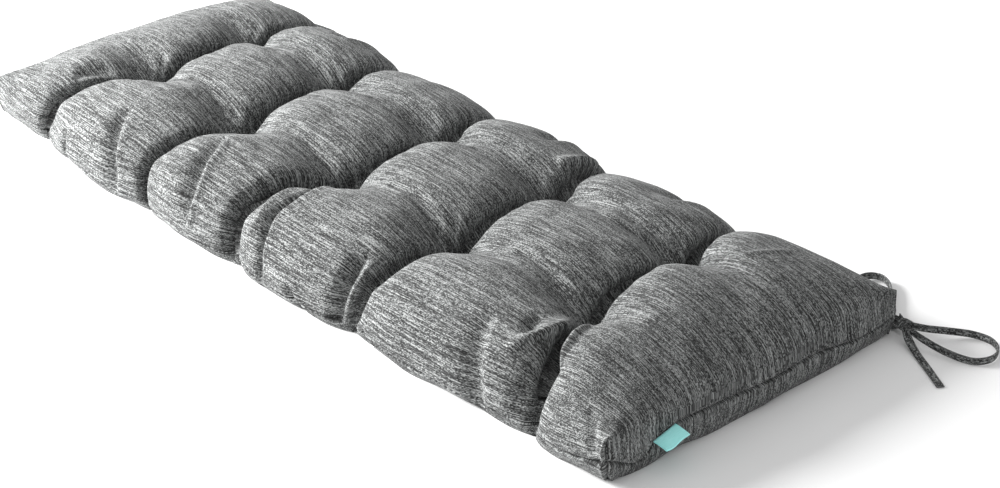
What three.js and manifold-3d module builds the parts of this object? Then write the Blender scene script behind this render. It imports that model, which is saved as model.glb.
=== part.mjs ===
// A tufted bench cushion with a knotted tie at each back corner and a folded tab in its end seam.
// Millimetres, +Z up. X runs along the bench, -Y is the front edge, and Z = 0 is the seat it lies on.

import * as THREE from 'three';
import { mergeVertices } from 'three/addons/utils/BufferGeometryUtils.js';
import Module from 'manifold-3d';

// Driving dimensions of the cushion
const LENGTH = 1219; // corner to corner along X
const WIDTH = 457; // corner to corner along Y
const CROWN = 113; // height of the filling where no stitch pulls it down
const END_BULGE = 6; // how far the ends swell past the line between their corners
const RIM = { side: 40, end: 47, corner: 57 }; // height where the top turns down into the wall
const ROLL = { alongFrom: 0.68, acrossFrom: 0.24, power: 2.05 }; // where the crown starts to roll down
const WALL = { swell: 4, tuck: 5 }; // the wall's swell, and how far its foot is drawn under
const SEAM = { end: 35, side: 13, corner: 27, groove: 2.5, lip: 4 }; // seam heights and section

// How far the front and back sides stand out from the straight line between the corners
const SIDES = [
  { x: -610, front: 10, back: -4 },
  { x: -330, front: 27, back: -19 },
  { x: 0, front: 25, back: -25 },
  { x: 210, front: 20, back: -22 },
  { x: 450, front: 8, back: -10 },
  { x: 610, front: 0, back: 0 },
];

// Tufts: two rows along X, one tuft of each row in every channel that crosses the cushion
const NEAR_ROW = -93;
const FAR_ROW = 71;
const TUFT = { pull: 24, reach: 34 }; // extra depth at a tuft and how far along the channel it is felt
const VALLEY = { depth: 11, reach: 30, fade: 90 }; // the dip along a row, dying out at the ends
const DIMPLE = { rise: 15, reach: 44 }; // a tuft's mark in the underside
const LUMP = { reach: 112, fullness: 2.3, rowFullness: 1.6 }; // half a lump's length, its arc's roundness

// Each channel's X where it crosses the front foot, front rim, tufts, back rim and back foot
const CHANNELS = [
  { frontFoot: -488, frontRim: -484, nearTuft: -420, farTuft: -428, backRim: -424, backFoot: -430 },
  { frontFoot: -218, frontRim: -230, nearTuft: -212, farTuft: -224, backRim: -222, backFoot: -216 },
  { frontFoot: -18, frontRim: -32, nearTuft: 6, farTuft: -4, backRim: -4, backFoot: 4 },
  { frontFoot: 198, frontRim: 204, nearTuft: 216, farTuft: 205, backRim: 194, backFoot: 198 },
  { frontFoot: 494, frontRim: 494, nearTuft: 440, farTuft: 425, backRim: 410, backFoot: 414 },
];

// A channel's depth at distances from the middle line, measured over the rim and down the wall
const CHANNEL_DEPTH = [
  { across: 0, depth: 40 },
  { across: 88, depth: 42 },
  { across: 150, depth: 36 },
  { across: 228, depth: 26 },
  { across: 285, depth: 9 },
];

// How much more or less each block of filling stands up, from the -X end
const BLOCK_FILL = [-1, 1, 0, 2, -1, 3];

// Loose folds in the sides: where each starts and ends, its width, and its depth or, below zero, its height
const FOLDS = [
  { x: -327, across: -172, endX: -280, endAcross: -268, width: 14, depth: 8 },
  { x: -160, across: -138, endX: -116, endAcross: -254, width: 16, depth: 8 },
  { x: 14, across: -126, endX: 42, endAcross: -264, width: 12, depth: 14 },
  { x: 180, across: -182, endX: 184, endAcross: -260, width: 11, depth: 10 },
  { x: 382, across: -174, endX: 420, endAcross: -268, width: 14, depth: 10 },
  { x: 446, across: -104, endX: 442, endAcross: -200, width: 10, depth: -10 },
  { x: -335, across: 160, endX: -318, endAcross: 264, width: 16, depth: 7 },
  { x: 108, across: 156, endX: 96, endAcross: 264, width: 16, depth: 7 },
  { x: 318, across: 164, endX: 336, endAcross: 264, width: 15, depth: 7 },
];

// Grid of the cushion's faces
const BLOCK_COLUMNS = 10;
const BAND_ROWS = 8;
const WALL_LAYERS = 8;
const SEAM_LAYER = 4;
const COLUMNS = BLOCK_COLUMNS * (CHANNELS.length + 1);
const ROWS = BAND_ROWS * 3;

// Ties: flat straps, each knotted with its twin beside the corner
const STRAP = { width: 9.5, thickness: 1.8 };
const STRAP_STEPS = 26;
const KNOT = { x: 14, y: 3, z: 18, radius: 8.5, flatten: 0.82 };

// Strap routes from the corner: x and y outwards, height, and stand (1 on edge, 0 flat)
const LOOP_OUT_RIGHT = [
  { x: 14, y: 5, z: 18, stand: 1 },
  { x: 30, y: 20, z: 14, stand: 1 },
  { x: 47, y: 43, z: 9, stand: 1 },
  { x: 67, y: 62, z: 5.8, stand: 1 },
  { x: 89, y: 66, z: 5.6, stand: 1 },
  { x: 107, y: 55, z: 5.6, stand: 1 },
  { x: 113, y: 34, z: 5.6, stand: 1 },
  { x: 103, y: 15, z: 5.6, stand: 1 },
  { x: 73, y: 7, z: 6, stand: 1 },
  { x: 40, y: 3, z: 11, stand: 1 },
  { x: 14, y: 1, z: 18, stand: 1 },
];
const LOOP_BACK_RIGHT = [
  { x: 13, y: 6, z: 18, stand: 1 },
  { x: 7, y: 13, z: 15, stand: 1 },
  { x: -6, y: 15, z: 12, stand: 1 },
  { x: -24, y: 24, z: 9, stand: 1 },
  { x: -41, y: 46, z: 6.5, stand: 1 },
  { x: -57, y: 68, z: 5.6, stand: 1 },
  { x: -75, y: 83.5, z: 5.6, stand: 1 },
  { x: -89.5, y: 87.5, z: 5.6, stand: 1 },
  { x: -101, y: 80.5, z: 5.6, stand: 1 },
  { x: -104.5, y: 67, z: 5.6, stand: 1 },
  { x: -97.5, y: 55, z: 5.6, stand: 1 },
  { x: -80, y: 42, z: 5.6, stand: 1 },
  { x: -56, y: 29, z: 5.8, stand: 1 },
  { x: -29, y: 16.5, z: 8, stand: 1 },
  { x: -5, y: 11, z: 12, stand: 1 },
  { x: 12, y: 5, z: 18, stand: 1 },
];
const LOOP_OUT_LEFT = [
  { x: 14, y: 1, z: 18, stand: 1 },
  { x: 29, y: -14, z: 14, stand: 1 },
  { x: 41, y: -36, z: 9, stand: 1 },
  { x: 52, y: -68, z: 5.8, stand: 1 },
  { x: 58, y: -100, z: 5.6, stand: 1 },
  { x: 52, y: -114.5, z: 5.6, stand: 1 },
  { x: 37.5, y: -120.5, z: 5.6, stand: 1 },
  { x: 23, y: -114.5, z: 5.6, stand: 1 },
  { x: 17, y: -100, z: 5.6, stand: 1 },
  { x: 17, y: -72, z: 5.6, stand: 1 },
  { x: 16, y: -38, z: 8, stand: 1 },
  { x: 13, y: 0, z: 18, stand: 1 },
];
const LOOP_BACK_LEFT = [
  { x: 13, y: 6, z: 18, stand: 1 },
  { x: 10, y: 17, z: 14, stand: 1 },
  { x: -4, y: 35, z: 9, stand: 1 },
  { x: -34, y: 51, z: 5.8, stand: 1 },
  { x: -64, y: 58, z: 5.6, stand: 1 },
  { x: -92, y: 59, z: 5.6, stand: 1 },
  { x: -106.5, y: 53, z: 5.6, stand: 1 },
  { x: -112.5, y: 38.5, z: 5.6, stand: 1 },
  { x: -106.5, y: 24, z: 5.6, stand: 1 },
  { x: -92, y: 18, z: 5.6, stand: 1 },
  { x: -64, y: 18, z: 5.6, stand: 1 },
  { x: -38, y: 17.5, z: 5.8, stand: 1 },
  { x: -14, y: 14.5, z: 9.5, stand: 1 },
  { x: 12, y: 5, z: 18, stand: 1 },
];
const END_OUT_RIGHT = [
  { x: 14, y: 2, z: 17, stand: 0.6 },
  { x: 27, y: -6, z: 9, stand: 0.3 },
  { x: 46, y: -15, z: 3, stand: 0 },
  { x: 74, y: -30, z: 1.5, stand: 0 },
  { x: 108, y: -50, z: 1.5, stand: 0 },
];
const END_OUT_LEFT = [
  { x: 14, y: 3, z: 17, stand: 0.6 },
  { x: 28, y: 5, z: 9, stand: 0.3 },
  { x: 44, y: 5, z: 3, stand: 0 },
  { x: 68, y: 1, z: 1.5, stand: 0 },
  { x: 96, y: -6, z: 1.5, stand: 0 },
];
const END_BACK = [
  { x: 13, y: 4, z: 17, stand: 0.6 },
  { x: 7, y: 10, z: 9, stand: 0.3 },
  { x: -6, y: 12, z: 3, stand: 0 },
  { x: -32, y: 10.5, z: 1.5, stand: 0 },
  { x: -68, y: 9, z: 1.5, stand: 0 },
];
const ROOT = [
  { x: 3.9, y: 4.6, z: 24, stand: 1 },
  { x: 8.5, y: 4.2, z: 21.5, stand: 1 },
  { x: 14, y: 3, z: 18, stand: 1 },
];

// Tab: a folded woven label in the end seam, its root just outside the end's rim line
const TAB = { length: 33, reach: 20, thickness: 1.6, y: -153.5, z: 37, slant: 14, droop: -3, root: 2.5 };

const FABRIC = { color: 0x7d807e, roughness: 0.95, metalness: 0 };
const TAB_FINISH = { color: 0x5fd0c8, roughness: 0.7, metalness: 0 };

const HALF_LENGTH = LENGTH / 2;
const HALF_WIDTH = WIDTH / 2;

const wasm = await Module();
wasm.setup();

// From the middle lines to the rim: the end at y, and the front or back side at x
function halfLength(y) {
  return HALF_LENGTH + END_BULGE * (1 - Math.min(1, Math.abs(y) / HALF_WIDTH) ** 3);
}

function halfWidth(x, side) {
  return HALF_WIDTH + through(SIDES, x, 'x', side < 0 ? 'front' : 'back');
}

// A smooth step through the rows of a table
function through(rows, at, key, value) {
  const last = rows.length - 1;
  if (at <= rows[0][key]) return rows[0][value];
  if (at >= rows[last][key]) return rows[last][value];
  const upper = rows.findIndex((row) => row[key] > at);
  const from = rows[upper - 1];
  const to = rows[upper];
  const share = THREE.MathUtils.smoothstep(at, from[key], to[key]);
  return THREE.MathUtils.lerp(from[value], to[value], share);
}

// A channel's X at a distance across the cushion, over the rims and down the walls
function channelX(channel, across) {
  const foot = HALF_WIDTH + RIM.side;
  const rows = [
    { across: -foot, x: channel.frontFoot },
    { across: -HALF_WIDTH, x: channel.frontRim },
    { across: NEAR_ROW, x: channel.nearTuft },
    { across: FAR_ROW, x: channel.farTuft },
    { across: HALF_WIDTH, x: channel.backRim },
    { across: foot, x: channel.backFoot },
  ];
  return through(rows, across, 'across', 'x');
}

// 0 to 1 with the steps crowded at both ends, as round a half circle
function crowded(step, steps) {
  return (1 - Math.cos((Math.PI * step) / steps)) / 2;
}

// The block that a grid column lies in, its share of the block, and its X at a distance across
function columnAt(column, across, y) {
  const block = Math.min(Math.floor(column / BLOCK_COLUMNS), CHANNELS.length);
  const share = crowded(column - block * BLOCK_COLUMNS, BLOCK_COLUMNS);
  const start = block === 0 ? -halfLength(y) : channelX(CHANNELS[block - 1], across);
  const end = block === CHANNELS.length ? halfLength(y) : channelX(CHANNELS[block], across);
  return { block, start, end, x: THREE.MathUtils.lerp(start, end, share) };
}

// A grid row's place across the cushion, from -1 at the front rim to 1 at the back rim
function rowAt(row) {
  const edges = [-1, NEAR_ROW / HALF_WIDTH, FAR_ROW / HALF_WIDTH, 1];
  const band = Math.min(Math.floor(row / BAND_ROWS), 2);
  const share = crowded(row - band * BAND_ROWS, BAND_ROWS);
  return THREE.MathUtils.lerp(edges[band], edges[band + 1], share);
}

// The quarter arc by which the crown rolls down to the rim, from 1 to 0
function roll(place, from) {
  const past = Math.max(0, (Math.min(1, Math.abs(place)) - from) / (1 - from));
  return Math.pow(1 - Math.pow(past, ROLL.power), 1 / ROLL.power);
}

// Height of the filled cover before it is tufted
function crownHeight(x, y) {
  const along = Math.abs(x) / halfLength(y);
  const across = Math.abs(y) / halfWidth(x, y);
  const nearEnd = Math.pow(along, 10);
  const rim = RIM.side + nearEnd * (RIM.end - RIM.side + (RIM.corner - RIM.end) * Math.pow(across, 4));
  return rim + (CROWN - rim) * roll(along, ROLL.alongFrom) * roll(across, ROLL.acrossFrom);
}

// Direction out of the untufted cover
function crownNormal(x, y) {
  const step = 0.5;
  const inX = x - Math.sign(x) * step;
  const inY = y - Math.sign(y) * step;
  const slopeX = (crownHeight(inX + step, inY) - crownHeight(inX - step, inY)) / (2 * step);
  const slopeY = (crownHeight(inX, inY + step) - crownHeight(inX, inY - step)) / (2 * step);
  return new THREE.Vector3(-slopeX, -slopeY, 1).normalize();
}

// How far the stitching draws the cover in at a grid column's place in its block
function tuftDepth(place, across) {
  const gap = Math.min(
    place.block > 0 ? place.x - place.start : Infinity,
    place.block < CHANNELS.length ? place.end - place.x : Infinity,
  );
  const reach = Math.min(LUMP.reach, (place.end - place.start) / 2);
  const inArc = 1 - Math.min(1, gap / reach);
  const rowGap = Math.min(Math.abs(across - NEAR_ROW), Math.abs(across - FAR_ROW));
  const atRow = Math.exp(-((rowGap / TUFT.reach) ** 2));
  const power = THREE.MathUtils.lerp(LUMP.fullness, LUMP.rowFullness, atRow);
  const lump = Math.pow(1 - Math.pow(inArc, power), 1 / power);
  const pull = TUFT.pull * atRow;
  const channel = through(CHANNEL_DEPTH, Math.abs(across), 'across', 'depth') + pull;
  const endBlock = place.block === 0 || place.block === CHANNELS.length;
  const fade = endBlock ? Math.exp(-((gap / VALLEY.fade) ** 2)) : 1;
  const valley = VALLEY.depth * Math.exp(-((rowGap / VALLEY.reach) ** 2)) * fade;
  return channel * (1 - lump) + valley * lump - BLOCK_FILL[place.block] * lump;
}

// How far the loose folds dent the side there
function foldDepth(x, across) {
  return FOLDS.reduce((depth, fold) => {
    const share = (across - fold.across) / (fold.endAcross - fold.across);
    if (share <= 0 || share >= 1) return depth;
    const away = (x - THREE.MathUtils.lerp(fold.x, fold.endX, share)) / fold.width;
    return depth + fold.depth * Math.sin(Math.PI * share) * Math.exp(-away * away);
  }, 0);
}

// A point of the top panel
function topPoint(column, row) {
  const place = rowAt(row);
  const level = place * HALF_WIDTH;
  const at = columnAt(column, level, level);
  const y = place * halfWidth(at.x, place);
  const depth = tuftDepth(at, level) + foldDepth(at.x, level);
  const point = new THREE.Vector3(at.x, y, crownHeight(at.x, y));
  return point.addScaledVector(crownNormal(at.x, y), -depth);
}

// Height of the seam that joins the top and bottom panels
function seamHeight(x, y, onEnd) {
  if (onEnd) return SEAM.end - (SEAM.end - SEAM.corner) * Math.pow(Math.abs(y) / HALF_WIDTH, 3);
  return SEAM.side + (SEAM.corner - SEAM.side) * Math.pow(Math.min(1, Math.abs(x) / HALF_LENGTH), 12);
}

// Shares of the wall's height, from the rim to the foot, with the seam as one of them
function wallShares(rim, seam) {
  const at = 1 - seam / rim;
  const lip = SEAM.lip / rim;
  return [0, at * 0.35, at * 0.7, at - lip, at, at + lip, at + (1 - at) * 0.55, at + (1 - at) * 0.82, 1];
}

// How far the wall stands out from the rim at a share of its height
function wallSwell(share) {
  return WALL.swell * Math.sin(Math.PI * share) ** 2 - WALL.tuck * Math.pow(share, 6);
}

// A point of the walls, layer 0 at the rim and the last layer at the foot
function wallPoint(column, row, layer) {
  const place = rowAt(row);
  const outX = column === 0 ? -1 : column === COLUMNS ? 1 : 0;
  const outY = row === 0 ? -1 : row === ROWS ? 1 : 0;
  const level = place * HALF_WIDTH;
  const rimX = columnAt(column, level, level).x;
  const rim = crownHeight(rimX, place * halfWidth(rimX, place));
  const seam = seamHeight(rimX, level, outX !== 0);
  const share = wallShares(rim, seam)[layer];
  const down = rim * share;
  const at = columnAt(column, level + outY * down, level);
  const groove = layer === SEAM_LAYER ? SEAM.groove : 0;
  const corner = outX !== 0 && outY !== 0;
  const across = level + outY * down;
  const drawn = corner || outX !== 0 ? 0 : tuftDepth(at, across) + foldDepth(at.x, across);
  const out = wallSwell(share) - groove - drawn;
  const x = outX === 0 ? at.x : at.x + outX * out;
  const y = place * halfWidth(at.x, place) + outY * out;
  return new THREE.Vector3(x, y, rim - down);
}

// A point of the bottom panel, flat but for the tufts' dimples
function bottomPoint(column, row) {
  const front = wallPoint(column, 0, WALL_LAYERS);
  const back = wallPoint(column, ROWS, WALL_LAYERS);
  const point = front.lerp(back, (rowAt(row) + 1) / 2);
  let rise = 0;
  for (const channel of CHANNELS) {
    for (const tuft of [[channel.nearTuft, NEAR_ROW], [channel.farTuft, FAR_ROW]]) {
      const away = Math.hypot(point.x - tuft[0], point.y - tuft[1]) / DIMPLE.reach;
      if (away < 1) rise += DIMPLE.rise * Math.cos((Math.PI / 2) * away) ** 2;
    }
  }
  return point.setZ(rise);
}

// Merges shared vertices once only positions are left
function welded(geometry) {
  geometry.deleteAttribute('normal');
  geometry.deleteAttribute('uv');
  return mergeVertices(geometry, 1e-3);
}

// The filled cover: a divided box whose vertices are set on the top, walls and bottom
function cushionGeometry() {
  const geometry = new THREE.BoxGeometry(2, 2, 2, COLUMNS, ROWS, WALL_LAYERS);
  const position = geometry.getAttribute('position');
  for (let i = 0; i < position.count; i += 1) {
    const column = Math.round(((position.getX(i) + 1) / 2) * COLUMNS);
    const row = Math.round(((position.getY(i) + 1) / 2) * ROWS);
    const layer = Math.round(((1 - position.getZ(i)) / 2) * WALL_LAYERS);
    const onWall = column === 0 || column === COLUMNS || row === 0 || row === ROWS;
    let point;
    if (onWall) point = wallPoint(column, row, layer);
    else if (layer === 0) point = topPoint(column, row);
    else point = bottomPoint(column, row);
    position.setXYZ(i, point.x, point.y, point.z);
  }
  return welded(geometry);
}

// A flat strap along a hand-set route, as a divided box bent to it
function strapGeometry(route) {
  const curve = new THREE.CatmullRomCurve3(route.map((p) => new THREE.Vector3(p.x, p.y, p.z)));
  const geometry = new THREE.BoxGeometry(1, 1, 1, STRAP_STEPS, 1, 1);
  const position = geometry.getAttribute('position');
  const up = new THREE.Vector3(0, 0, 1);
  for (let i = 0; i < position.count; i += 1) {
    const share = position.getX(i) + 0.5;
    const along = curve.getTangent(share).setZ(0).normalize();
    const level = new THREE.Vector3().crossVectors(up, along);
    const step = share * (route.length - 1);
    const from = route[Math.floor(step)];
    const to = route[Math.min(route.length - 1, Math.floor(step) + 1)];
    const stand = THREE.MathUtils.lerp(from.stand, to.stand, step % 1) * (Math.PI / 2);
    const wide = level.clone().multiplyScalar(Math.cos(stand)).addScaledVector(up, Math.sin(stand));
    const thick = level.clone().multiplyScalar(-Math.sin(stand)).addScaledVector(up, Math.cos(stand));
    const point = curve.getPoint(share);
    point.addScaledVector(wide, position.getY(i) * STRAP.width);
    point.addScaledVector(thick, position.getZ(i) * STRAP.thickness);
    position.setXYZ(i, point.x, point.y, point.z);
  }
  return welded(geometry);
}

// The pulled knot
function knotGeometry() {
  const geometry = new THREE.SphereGeometry(KNOT.radius, 14, 9);
  geometry.scale(1, KNOT.flatten, KNOT.flatten);
  geometry.rotateZ(-0.4);
  geometry.translate(KNOT.x, KNOT.y, KNOT.z);
  return welded(geometry);
}

function solidOf(geometry) {
  const vertProperties = new Float32Array(geometry.getAttribute('position').array);
  const triVerts = new Uint32Array(geometry.index.array);
  return new wasm.Manifold(new wasm.Mesh({ numProp: 3, vertProperties, triVerts }));
}

function geometryOf(solid) {
  const mesh = solid.getMesh();
  const geometry = new THREE.BufferGeometry();
  geometry.setAttribute('position', new THREE.BufferAttribute(mesh.vertProperties, 3));
  geometry.setIndex(new THREE.BufferAttribute(mesh.triVerts, 1));
  return geometry;
}

// A bow: two loops, two free ends and the short roots from the corner, drawn into one knot
function tieGeometry(routes) {
  const straps = routes.map(strapGeometry);
  const solid = straps.reduce((bow, strap) => bow.add(solidOf(strap)), solidOf(knotGeometry()));
  return geometryOf(solid);
}

function tie(name, side, routes) {
  const geometry = tieGeometry(routes);
  const mesh = new THREE.Mesh(geometry, new THREE.MeshStandardMaterial(FABRIC));
  mesh.name = name;
  mesh.scale.x = side;
  mesh.position.set(side * HALF_LENGTH, halfWidth(side * HALF_LENGTH, 1), 0);
  return mesh;
}

// The folded tab, slanted with the seam and standing straight out of it
function tab() {
  const geometry = new THREE.BoxGeometry(TAB.reach, TAB.length, TAB.thickness, 4, 6, 1);
  const position = geometry.getAttribute('position');
  for (let i = 0; i < position.count; i += 1) {
    const out = position.getX(i) / TAB.reach + 0.5;
    position.setZ(i, position.getZ(i) + TAB.droop * out * out);
  }
  const mesh = new THREE.Mesh(welded(geometry), new THREE.MeshStandardMaterial(TAB_FINISH));
  mesh.name = 'tab';
  const root = halfLength(TAB.y) + TAB.root;
  mesh.position.set(root + TAB.reach / 2, TAB.y, TAB.z);
  mesh.rotation.x = THREE.MathUtils.degToRad(TAB.slant);
  return mesh;
}

function cushion() {
  const mesh = new THREE.Mesh(cushionGeometry(), new THREE.MeshStandardMaterial(FABRIC));
  mesh.name = 'cushion';
  return mesh;
}

const benchCushion = new THREE.Group();
benchCushion.add(cushion());
benchCushion.add(tie('tie_right', 1, [ROOT, LOOP_OUT_RIGHT, LOOP_BACK_RIGHT, END_OUT_RIGHT, END_BACK]));
benchCushion.add(tie('tie_left', -1, [ROOT, LOOP_OUT_LEFT, LOOP_BACK_LEFT, END_OUT_LEFT, END_BACK]));
benchCushion.add(tab());

export default benchCushion;
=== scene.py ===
"""A tufted bench cushion in heathered cloth, with a knotted tie at each back corner and a folded tab.

Metres, +Z up. X runs along the bench, -Y is the front edge, and Z = 0 is the surface it lies on.
"""

import math

import bpy
import numpy as np
from mathutils import Matrix, Vector


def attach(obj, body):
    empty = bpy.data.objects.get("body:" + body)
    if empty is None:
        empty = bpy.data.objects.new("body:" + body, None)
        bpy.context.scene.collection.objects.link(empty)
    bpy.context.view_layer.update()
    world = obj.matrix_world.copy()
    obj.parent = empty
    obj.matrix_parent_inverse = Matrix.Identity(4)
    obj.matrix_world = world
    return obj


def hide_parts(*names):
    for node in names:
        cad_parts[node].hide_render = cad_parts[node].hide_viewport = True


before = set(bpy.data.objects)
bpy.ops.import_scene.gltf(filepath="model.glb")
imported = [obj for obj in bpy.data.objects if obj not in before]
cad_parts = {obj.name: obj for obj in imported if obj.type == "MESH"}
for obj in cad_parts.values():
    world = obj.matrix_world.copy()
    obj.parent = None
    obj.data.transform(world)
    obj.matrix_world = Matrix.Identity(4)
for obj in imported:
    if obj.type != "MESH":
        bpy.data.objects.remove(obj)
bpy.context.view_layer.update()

# Driving dimensions of the cushion, the same as its solid's
LENGTH = 1.219
WIDTH = 0.457
CROWN = 0.113
END_BULGE = 0.006
RIM_SIDE, RIM_END, RIM_CORNER = 0.040, 0.047, 0.057
ROLL_ALONG, ROLL_ACROSS, ROLL_POWER = 0.68, 0.24, 2.05
WALL_SWELL, WALL_TUCK, TUCK_POWER = 0.004, 0.005, 6
BULGE_POWER, RISE_ALONG, RISE_ACROSS = 3, 10, 4
HALF_LENGTH = LENGTH / 2
HALF_WIDTH = WIDTH / 2
FOOT = HALF_WIDTH + RIM_SIDE

# How far the front and back sides stand out from the straight line between the corners
SIDE_X = (-0.610, -0.330, 0.000, 0.210, 0.450, 0.610)
SIDE_FRONT = (0.010, 0.027, 0.025, 0.020, 0.008, 0.000)
SIDE_BACK = (-0.004, -0.019, -0.025, -0.022, -0.010, 0.000)

# Tufts: two rows along X, one tuft of each row in every channel that crosses the cushion
NEAR_ROW, FAR_ROW = -0.093, 0.071
TUFT_PULL, TUFT_REACH = 0.024, 0.034
VALLEY_DEPTH, VALLEY_REACH, VALLEY_FADE = 0.011, 0.030, 0.090
LUMP_REACH, LUMP_FULLNESS, ROW_FULLNESS = 0.112, 2.3, 1.6
DIMPLE_RISE, DIMPLE_REACH = 0.015, 0.044
BLOCK_FILL = (-0.001, 0.001, 0.000, 0.002, -0.001, 0.003)

# Each channel's X at the front foot, front rim, near tuft, far tuft, back rim and back foot
CHANNEL_ACROSS = (-FOOT, -HALF_WIDTH, NEAR_ROW, FAR_ROW, HALF_WIDTH, FOOT)
CHANNELS = (
    (-0.488, -0.484, -0.420, -0.428, -0.424, -0.430),
    (-0.218, -0.230, -0.212, -0.224, -0.222, -0.216),
    (-0.018, -0.032, 0.006, -0.004, -0.004, 0.004),
    (0.198, 0.204, 0.216, 0.205, 0.194, 0.198),
    (0.494, 0.494, 0.440, 0.425, 0.410, 0.414),
)

# Each channel's near and far tuft
TUFTS = tuple(((channel[2], NEAR_ROW), (channel[3], FAR_ROW)) for channel in CHANNELS)

# A channel's depth at distances from the middle line, over the rim and down the wall
DEPTH_ACROSS = (0.000, 0.088, 0.150, 0.228, 0.285)
DEPTH = (0.040, 0.042, 0.036, 0.026, 0.009)

# Seam heights: plain on the far end and the sides, and wandering along the near end
SEAM_END, SEAM_SIDE, SEAM_CORNER, SEAM_RISE = 0.035, 0.013, 0.027, 12
NEAR_SEAM_Y = (-0.229, -0.214, -0.180, -0.168, -0.138, -0.080, 0.000, 0.072, 0.165, 0.229)
NEAR_SEAM_Z = (0.034, 0.025, 0.018, 0.030, 0.039, 0.039, 0.035, 0.036, 0.026, 0.024)

# The seam's groove and the lips beside it, and the dart with its ridges at each corner
SEAM_GROOVE, SEAM_WIDTH = 0.0048, 0.0011
SEAM_LIP, SEAM_LIP_AT, SEAM_LIP_WIDTH = 0.0004, 0.0032, 0.0018
DART_GROOVE, DART_WIDTH = 0.0095, 0.0014
DART_RIDGE, DART_RIDGE_AT, DART_RIDGE_WIDTH = 0.0016, 0.0035, 0.0018

# Loose folds, each a line of places (x, across) with the widths of its -X and +X flanks, its depth
# or, below 0, height, and the height of the lip beyond its +X flank
FOLDS = (
    (((-0.484, -0.176), (-0.478, -0.162), (-0.468, -0.151), (-0.456, -0.144), (-0.440, -0.143)),
     0.012, 0.006, 0.012, 0.001),
    (((-0.412, -0.226), (-0.404, -0.248), (-0.398, -0.268)), 0.008, 0.004, 0.010, 0.001),
    (((-0.327, -0.177), (-0.313, -0.200), (-0.292, -0.226), (-0.284, -0.238), (-0.276, -0.260)),
     0.014, 0.005, 0.012, 0.001),
    (((-0.164, -0.138), (-0.146, -0.167), (-0.135, -0.191), (-0.116, -0.220), (-0.117, -0.245)),
     0.016, 0.004, 0.012, 0.003),
    (((0.008, -0.110), (0.024, -0.150), (0.026, -0.176), (0.023, -0.196), (0.036, -0.226), (0.044, -0.264)),
     0.008, 0.004, 0.015, 0.002),
    (((0.002, -0.062), (-0.003, -0.096), (-0.019, -0.138), (-0.034, -0.175), (-0.037, -0.2285),
      (-0.022, -0.262)), 0.011, 0.004, 0.026, 0.002),
    (((-0.003, -0.140), (-0.002, -0.182), (0.010, -0.222)), 0.006, 0.006, -0.005, 0.0),
    (((0.098, -0.240), (0.108, -0.252), (0.124, -0.266)), 0.006, 0.004, 0.006, 0.001),
    (((0.178, -0.186), (0.185, -0.216), (0.182, -0.260)), 0.012, 0.005, 0.013, 0.0),
    (((0.190, -0.188), (0.196, -0.212), (0.195, -0.240)), 0.007, 0.006, -0.0045, 0.0),
    (((0.220, -0.248), (0.228, -0.257), (0.238, -0.268)), 0.006, 0.005, 0.006, 0.001),
    (((0.384, -0.180), (0.394, -0.204), (0.410, -0.228), (0.418, -0.245), (0.422, -0.264)),
     0.016, 0.007, 0.011, 0.0),
    (((0.424, -0.146), (0.432, -0.166), (0.440, -0.180)), 0.009, 0.006, 0.007, 0.0),
    (((0.434, -0.202), (0.449, -0.174), (0.452, -0.142), (0.446, -0.110), (0.436, -0.078)),
     0.011, 0.005, -0.015, 0.0),
    (((0.462, -0.116), (0.469, -0.150), (0.475, -0.184), (0.477, -0.214), (0.474, -0.254)),
     0.012, 0.012, 0.008, 0.0),
    (((0.470, -0.118), (0.480, -0.148), (0.486, -0.174), (0.489, -0.196)), 0.006, 0.004, -0.011, 0.0),
    (((0.566, -0.212), (0.587, -0.226), (0.598, -0.242)), 0.006, 0.003, 0.004, 0.001),
    (((0.585, -0.232), (0.597, -0.246), (0.606, -0.250)), 0.005, 0.003, 0.004, 0.001),
    (((0.173, 0.120), (0.176, 0.158), (0.174, 0.197)), 0.009, 0.009, -0.010, 0.0),
    (((0.188, 0.130), (0.189, 0.160), (0.188, 0.190)), 0.006, 0.006, 0.007, 0.0),
    (((0.489, 0.089), (0.499, 0.115), (0.505, 0.153), (0.505, 0.170)), 0.004, 0.004, -0.002, 0.0),
    (((0.604, -0.080), (0.619, -0.085)), 0.004, 0.003, 0.003, 0.001),
    (((-0.335, 0.160), (-0.325, 0.210), (-0.318, 0.264)), 0.016, 0.008, 0.008, 0.002),
    (((0.108, 0.156), (0.100, 0.210), (0.096, 0.264)), 0.016, 0.008, 0.008, 0.002),
    (((0.318, 0.164), (0.326, 0.215), (0.336, 0.264)), 0.015, 0.008, 0.008, 0.002),
)

# How a fold tapers and how far it reaches, and where its lip is and how wide, in widths of its flank
FOLD_TAPER, FOLD_REACH = 0.6, 4
LIP_AT, LIP_SPREAD = 2.4, 1.3
FOLD_STEPS = 6

# Creases in the valleys along the rows: each ends near the next tuft along X, shifted off its row
CREASE_NEAR_END, CREASE_FAR_END = 0.022, 0.130
CREASE_SHIFT_NEAR, CREASE_SHIFT_FAR = 0.012, -0.017
CREASE_WIDTH, CREASE_DEPTH = 0.007, 0.005

# The wavy edge on which the cover stands
FOOT_WAVE, FOOT_WAVELENGTH, FOOT_HEIGHT, FOOT_SEED = 0.0018, 0.060, 0.014, 21

# Unevenness of the filling: the height, wavelength and seed of each swell, and the height where they fade
SWELLS = ((0.0014, 0.095, 11), (0.0005, 0.040, 12))
SWELL_FADE = 0.02

# Gathers beside the channels, and gathers round the tufts
PUCKER_HEIGHT, PUCKER_PITCH, PUCKER_REACH, PUCKER_CLEAR = 0.0008, 0.031, 0.020, 0.005
PUCKER_WANDER, PUCKER_SHIFT = 2.2, 5
GATHER_HEIGHT, GATHER_COUNT, GATHER_AT, GATHER_SPREAD = 0.0011, 8, 0.026, 0.018
GATHER_WANDER = 1.5
WANDER_LENGTH, WANDER_SEED = 0.12, 3

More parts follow.
